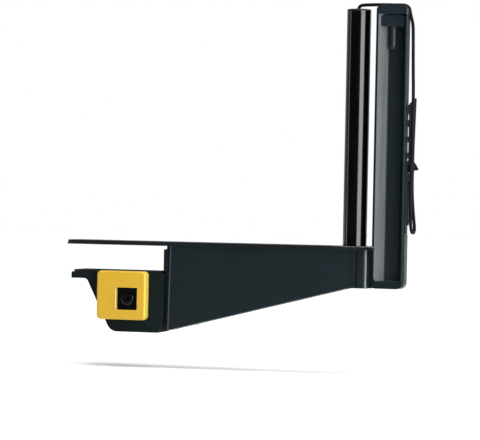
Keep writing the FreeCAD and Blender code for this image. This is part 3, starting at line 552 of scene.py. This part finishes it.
def arm_plastic(name):
    """Arm and its cover."""
    return grained_plastic(name, (0.0045, 0.0082, 0.0100), worn=DULL_WEAR, specular=0.1,
                           painted_light=painted_edge_highlight)


def jaw_plastic(name):
    """Dry, chalky moulding under the table."""
    return grained_plastic(name, (0.0042, 0.0070, 0.0074), rough=0.75, worn=DULL_WEAR, specular=0.05)


def yellow_plastic(name):
    """Adapter block."""
    return surface(name, (0.50, 0.300, 0.012), rough=0.40, grain=0.35, depth=0.02, mottle=0.06,
                   worn=(0.82, 0.62, 0.20), painted_light=painted_lit_sides)


def post_plastic(name):
    """Post with its channel."""
    return grained_plastic(name, (0.0036, 0.0068, 0.0083), rough=0.34, worn=(0.09, 0.10, 0.10), depth=0.015,
                           specular=0.09, painted_light=channel_painted_light)


def cap_plastic(name):
    """Glossier cap and tee in the post's top."""
    return grained_plastic(name, (0.0046, 0.0088, 0.0114), rough=0.34, worn=(0.10, 0.12, 0.13), depth=0.02,
                           specular=0.26)


def foot_plastic(name):
    """End block that guides the post."""
    return grained_plastic(name, (0.0036, 0.0068, 0.0078), rough=0.38, worn=DULL_WEAR, depth=0.02,
                           specular=0.16, painted_light=painted_corner_highlight)


def blade_steel(name):
    """Powder-coated steel blade."""
    return surface(name, (0.0040, 0.0060, 0.0072), rough=0.44, grain=0.6, depth=0.01, mottle=0.15,
                   worn=(0.06, 0.065, 0.065), wear=0.2, specular=0.16, coat=0.05, painted_light=painted_blade_highlight)


def grip_rubber(name):
    """Pads and the edge buffer."""
    return soft_rubber(name, (0.0042, 0.0056, 0.0066))


def rod_gloss(name):
    """The net rod's enamel."""
    return gloss_enamel(name, (0.0004, 0.0004, 0.0006))


def rod_plug(name):
    """Plugs in the rod's ends."""
    return grained_plastic(name, (0.006, 0.006, 0.007), specular=0.2)


def black_screws(name):
    """Blackened steel screws."""
    return surface(name, (0.012, 0.013, 0.014), rough=0.33, grain=0.4, depth=0.01, mottle=0.2,
                   worn=(0.2, 0.2, 0.2), metal=0.4, specular=0.2)


def bolt_gloss(name):
    """Glossy black head of the jaw's bolt."""
    return surface(name, (0.0008, 0.0016, 0.0022), rough=0.14, grain=0.5, depth=0.01, mottle=0.15,
                   worn=(0.012, 0.020, 0.030), specular=0.3)


def black_plate(name):
    """Dull square plate in the block's window."""
    return surface(name, (0.0008, 0.0016, 0.0018), rough=0.45, depth=0.02, mottle=0.15,
                   worn=(0.02, 0.02, 0.02), specular=0.06)


def zinc_steel(name):
    """Zinc-plated hardware."""
    return turned_metal(name, ZINC, ZINC_ROUGH)


def clamp_thread(name):
    """The clamp screw, with its thread."""
    return turned_metal(name, ZINC, ZINC_ROUGH, thread=CLAMP_THREAD)


def height_thread(name):
    """The height screw, with its thread."""
    return turned_metal(name, ZINC, ZINC_ROUGH, thread=HEIGHT_THREAD)


def brass(name):
    """Brass nut and insert."""
    return turned_metal(name, (0.78, 0.56, 0.22), 0.28)


def wheel_plastic(name):
    """Thumb wheel."""
    return grained_plastic(name, (0.012, 0.013, 0.014), rough=0.45, specular=0.25)


def cleat_plastic(name):
    """Ladder cleat beside the post."""
    return grained_plastic(name, (0.0048, 0.0070, 0.0080), worn=(0.04, 0.046, 0.046), depth=0.02,
                           specular=0.12)


def cord_yarn(name):
    """Black tension cord, its knot and its hitch."""
    return braided_yarn(name, (0.0035, 0.0030, 0.0042))


SLOT_MATERIALS = {
    "arm_plastic": arm_plastic,
    "jaw_plastic": jaw_plastic,
    "yellow_plastic": yellow_plastic,
    "post_plastic": post_plastic,
    "cap_plastic": cap_plastic,
    "foot_plastic": foot_plastic,
    "blade_steel": blade_steel,
    "grip_rubber": grip_rubber,
    "rod_gloss": rod_gloss,
    "rod_plug": rod_plug,
    "black_screws": black_screws,
    "bolt_gloss": bolt_gloss,
    "black_plate": black_plate,
    "zinc_steel": zinc_steel,
    "clamp_thread": clamp_thread,
    "height_thread": height_thread,
    "brass": brass,
    "wheel_plastic": wheel_plastic,
    "cleat_plastic": cleat_plastic,
    "cord": cord_yarn,
}
NODE_FINISHES = {
    "post_foot": "foot_plastic",
    "jaw_bolt": "bolt_gloss",
    "clamp_screw": "clamp_thread",
    "height_screw": "height_thread",
}


def paint_nodes():
    """Give every carried-over CAD node its slot's material, or its own variant of it."""
    slots = {entry["node"]: entry["material_slot"] for entry in frame["record"]["subparts"]}
    slots.update(NODE_FINISHES)
    made = {slot: build(slot) for slot, build in SLOT_MATERIALS.items()}
    for name, node in nodes.items():
        node.data.materials.clear()
        node.data.materials.append(made[slots[name]])
    return made


# ---------------------------------------------------------------- cord

CORD_DIAMETER = 2.1 * MM
CORD_ROUTE = (
    (0.1196, 0.0, 0.136),
    (0.1194, 0.0, 0.1432),
    (0.1193, 0.0, 0.1508),
    (0.1255, 0.0, 0.15125),
    (0.1348, 0.0, 0.1513),
    (0.1424, 0.0, 0.1511),
    (0.1511, 0.0, 0.15105),
    (0.1524, 0.0, 0.1444),
    (0.1539, 0.0, 0.1394),
    (0.15415, 0.0, 0.1296),
    (0.1545, 0.0, 0.111),
    (0.155, -0.0004, 0.098),
    (0.1551, -0.00115, 0.087),
    (0.1551, -0.00115, 0.072),
    (0.1551, -0.0012, 0.06),
    (0.155, -0.0015, 0.05),
    (0.1547, -0.0018, 0.04),
    (0.1548, -0.0019, 0.028),
    (0.1554, -0.0022, 0.0115),
    (0.1573, 0.0022, 0.0117),
    (0.1559, 0.0021, 0.023),
    (0.155, 0.0017, 0.036),
    (0.155, 0.0013, 0.047),
    (0.1551, 0.0012, 0.058),
    (0.1552, 0.0012, 0.068),
    (0.1555, 0.0012, 0.08),
    (0.1558, 0.0012, 0.094),
)
CORD_STEPS, CORD_GAP = 24, 0.26 * MM  # spline steps between two route points, and between the tube's rings
TIE_STEPS, TIE_GAP = 12, 0.25 * MM

PLAIT_LENGTH = 3.0 * MM
LEANING_STRANDS, STRANDS_PASSED = 4, 2  # strands that lean each way, and how many a plait's length passes
PLAIT_RELIEF = 0.09  # from ridge to hollow, against the radius
PLAIT_RIDGE = 1.01  # the highest ridge, against the radius
RING_POINTS = 24

COIL_STEPS = 12  # points a turn
KNOT_COIL = {"centre": (0.1196, 0.0), "wide": 0.00145, "deep": 0.00145, "low": 0.1321, "high": 0.1350,
             "turns": 2.1}
KNOT_RADIUS = 0.9 * MM
HITCH_COIL = {"centre": (0.1547, 0.0), "wide": 0.00150, "deep": 0.00235, "low": 0.0494, "high": 0.0544,
              "turns": 3.1, "start": math.radians(160)}
HITCH_TAIL = [
    (0.1556, -0.0016, 0.0546),
    (0.1563, -0.0002, 0.0537),
    (0.1573, 0.0, 0.0518),
    (0.1584, 0.0, 0.0501),
]
HITCH_RADIUS = 0.98 * MM


def route_points(route, steps):
    """Points along the smooth spline that has the route as its control points."""
    curve = bpy.data.curves.new("route", "CURVE")
    curve.dimensions = "3D"
    curve.resolution_u = steps
    spline = curve.splines.new("NURBS")
    spline.points.add(len(route) - 1)
    for point, place in zip(spline.points, route):
        point.co = (*place, 1.0)
    spline.order_u = 3
    spline.use_endpoint_u = True
    holder = bpy.data.objects.new("route", curve)
    mesh = bpy.data.meshes.new_from_object(holder)
    points = [vertex.co.copy() for vertex in mesh.vertices]
    bpy.data.objects.remove(holder)
    bpy.data.curves.remove(curve)
    bpy.data.meshes.remove(mesh)
    return points


def evenly(points, gap):
    """The same line with points a fixed gap apart, and its end kept where no point lies near it."""
    out, spare = [points[0]], 0.0
    for start, end in zip(points, points[1:]):
        run = (end - start).length
        along = gap - spare
        while along <= run:
            out.append(start.lerp(end, along / run))
            along += gap
        spare = run - (along - gap)
    if (out[-1] - points[-1]).length > gap * 0.3:
        out.append(points[-1])
    return out


def carried_frames(points):
    """Side and up vectors along a line, carried from point to point without twisting."""
    frames = []
    side = None
    for index, point in enumerate(points):
        ahead = (points[min(index + 1, len(points) - 1)] - points[max(index - 1, 0)]).normalized()
        if side is None:
            side = ahead.orthogonal()
        side = (side - ahead * side.dot(ahead)).normalized()
        frames.append((side.copy(), ahead.cross(side)))
    return frames


def plait_reach(radius, angle, travelled):
    """Distance of the plaited skin from the cord's middle line."""
    turn = 2 * math.pi * travelled / PLAIT_LENGTH
    left = math.cos(LEANING_STRANDS * angle + STRANDS_PASSED * turn)
    right = math.cos(LEANING_STRANDS * angle - STRANDS_PASSED * turn)
    return radius * (PLAIT_RIDGE - PLAIT_RELIEF / 2 + PLAIT_RELIEF / 2 * (left * right))


def tube_faces(rings):
    """Faces of a closed tube: its sides, then its two end caps."""
    faces = []
    for index in range(rings - 1):
        for step in range(RING_POINTS):
            first = index * RING_POINTS + step
            second = index * RING_POINTS + (step + 1) % RING_POINTS
            faces.append((first, second, second + RING_POINTS, first + RING_POINTS))
    faces.append(tuple(reversed(range(RING_POINTS))))
    last = (rings - 1) * RING_POINTS
    faces.append(tuple(range(last, last + RING_POINTS)))
    return faces


def braided_tube(name, points, radius):
    """A closed tube whose skin rises and falls like a plait of eight strands."""
    vertices = []
    travelled = 0.0
    for index, (point, (side, up)) in enumerate(zip(points, carried_frames(points))):
        if index:
            travelled += (point - points[index - 1]).length
        for step in range(RING_POINTS):
            angle = 2 * math.pi * step / RING_POINTS
            outward = side * math.cos(angle) + up * math.sin(angle)
            vertices.append(point + outward * plait_reach(radius, angle, travelled))
    mesh = bpy.data.meshes.new(name)
    mesh.from_pydata(vertices, [], tube_faces(len(points)))
    mesh.update()
    smooth_sides(mesh)
    piece = bpy.data.objects.new(name, mesh)
    bpy.context.scene.collection.objects.link(piece)
    return piece


def smooth_sides(mesh):
    """Shade the tube's sides smooth and leave its end caps flat."""
    for face in mesh.polygons:
        face.use_smooth = len(face.vertices) <= 4


def coil(centre, wide, deep, low, high, turns, start=0.0):
    """Points of a rising oval coil."""
    steps = round(COIL_STEPS * turns)
    points = []
    for step in range(steps + 1):
        angle = start + 2 * math.pi * turns * step / steps
        rise = low + (high - low) * step / steps
        points.append((centre[0] + wide * math.cos(angle), centre[1] + deep * math.sin(angle), rise))
    return points


def build_knot(made):
    """Stopper knot of two tight turns inside the rod's cap."""
    line = evenly(route_points(coil(**KNOT_COIL), TIE_STEPS), TIE_GAP)
    knot = braided_tube("cord_knot_coil", line, KNOT_RADIUS)
    knot.data.materials.append(made["cord"])
    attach(knot, "post")
    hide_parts("cord_knot")
    return knot


def build_hitch(made):
    """Hitch that binds the loop's two strands, with its cut tail."""
    line = evenly(route_points(coil(**HITCH_COIL) + HITCH_TAIL, TIE_STEPS), TIE_GAP)
    hitch = braided_tube("cord_hitch_turns", line, HITCH_RADIUS)
    hitch.data.materials.append(made["cord"])
    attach(hitch, "post")
    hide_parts("cord_hitch")
    return hitch


def build_cord(made):
    """Braided tension cord along the given route."""
    line = evenly(route_points(CORD_ROUTE, CORD_STEPS), CORD_GAP)
    cord = braided_tube("cord_braid", line, CORD_DIAMETER / 2)
    cord.data.materials.append(made["cord"])
    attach(cord, "post")
    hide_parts("tension_cord")
    build_knot(made)
    build_hitch(made)


# ---------------------------------------------------------------- assembly

build_camera()
build_light()
build_floor()
slot_materials = paint_nodes()
build_cord(slot_materials)
